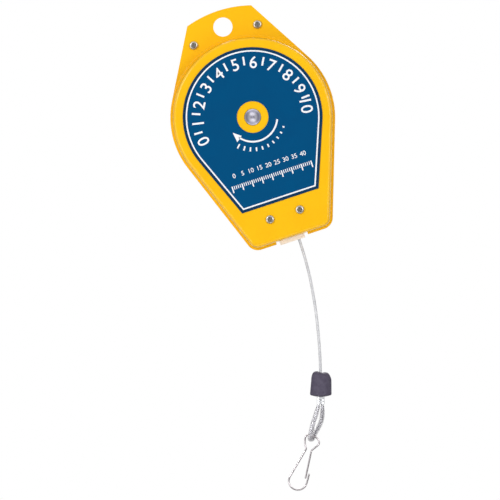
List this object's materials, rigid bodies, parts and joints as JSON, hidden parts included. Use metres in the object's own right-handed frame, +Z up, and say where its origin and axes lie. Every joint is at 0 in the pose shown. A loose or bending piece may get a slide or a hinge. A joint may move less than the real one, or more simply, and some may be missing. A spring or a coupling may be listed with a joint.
{
  "type": "spring balancer",
  "caption": "Hanging spring balancer: flat round-topped case with a holed ear, a sprung rope drum inside, and a wire rope with rubber stopper, loop and snap hook.",
  "frame": {"origin": "centre of the suspension hole at the case's mid thickness", "axes": "+Z up towards the top of the ear, the printed front face towards -Y, X across; the rope hangs towards -Z"},
  "size_m": [0.1236, 0.0399, 0.361],
  "materials": {
    "case": "moulded yellow plastic, satin gloss",
    "plate": "printed blue film, satin",
    "zinc": "zinc plated",
    "guide": "white acetal",
    "bronze": "sintered bronze",
    "turned_steel": "turned steel",
    "spring_steel": "blued spring steel",
    "drum": "moulded nylon",
    "rope": "coated steel wire rope",
    "rubber": "moulded rubber, matt",
    "ferrule": "crimped",
    "sleeve": "clear soft PVC tube",
    "nickel": "nickel plated spring wire"
  },
  "bodies": {
    "housing": {"front_shell": "case", "rear_shell": "case", "name_plate": "plate", "upper_screws": "zinc", "lower_screws": "zinc", "case_nuts": "zinc", "rope_guide": "guide", "front_bush": "bronze", "rear_bush": "bronze", "click_spring": "spring_steel", "rope_lead": "rope"},
    "shaft_body": {"shaft": "turned_steel", "ratchet_wheel": "turned_steel"},
    "drum_body": {"drum": "drum", "drum_cover": "turned_steel", "cover_screws": "zinc", "front_drum_bush": "bronze", "rear_drum_bush": "bronze", "power_spring": "spring_steel", "spring_pin": "turned_steel", "rope_anchor": "ferrule", "rope_windings": "rope"},
    "rope_end": {"wire_rope": "rope", "stopper": "rubber", "ferrule": "ferrule", "rope_loop": "rope", "loop_sleeve": "sleeve"},
    "hook_body": {"snap_hook": "nickel"},
    "gate_body": {"hook_gate": "nickel"}
  },
  "joints": [
    {"name": "drum_spin", "type": "hinge", "parent": "housing", "child": "drum_body", "pos_m": [0, 0, -0.0714], "axis": [0, -1, 0], "range_deg": [-136.6, 1673], "stiffness_Nm_per_rad": 0.019, "springref_deg": -13.34, "deforming": ["power_spring"]},
    {"name": "tension_wind", "type": "hinge", "parent": "housing", "child": "shaft_body", "pos_m": [0, 0, -0.0714], "axis": [0, 1, 0], "range_deg": [0, 1800], "deforming": ["click_spring", "power_spring"]},
    {"name": "rope_pull", "type": "slide", "parent": "housing", "child": "rope_end", "axis": [-0.1566, 0, -0.9877], "range_m": [-0.098, 1.2], "deforming": ["wire_rope"]},
    {"name": "hook_swing", "type": "hinge", "parent": "rope_end", "child": "hook_body", "pos_m": [-0.03284, 0, -0.312], "axis": [0.8348, 0, -0.5505], "range_deg": [-45, 45]},
    {"name": "gate_press", "type": "hinge", "parent": "hook_body", "child": "gate_body", "pos_m": [-0.03689, 0, -0.3225], "axis": [0, 1, 0], "range_deg": [0, 16], "stiffness_Nm_per_rad": 0.02}
  ],
  "couplings": [
    {"joint": "rope_pull", "follows": "drum_spin", "m_per_rad": 0.04108}
  ]
}
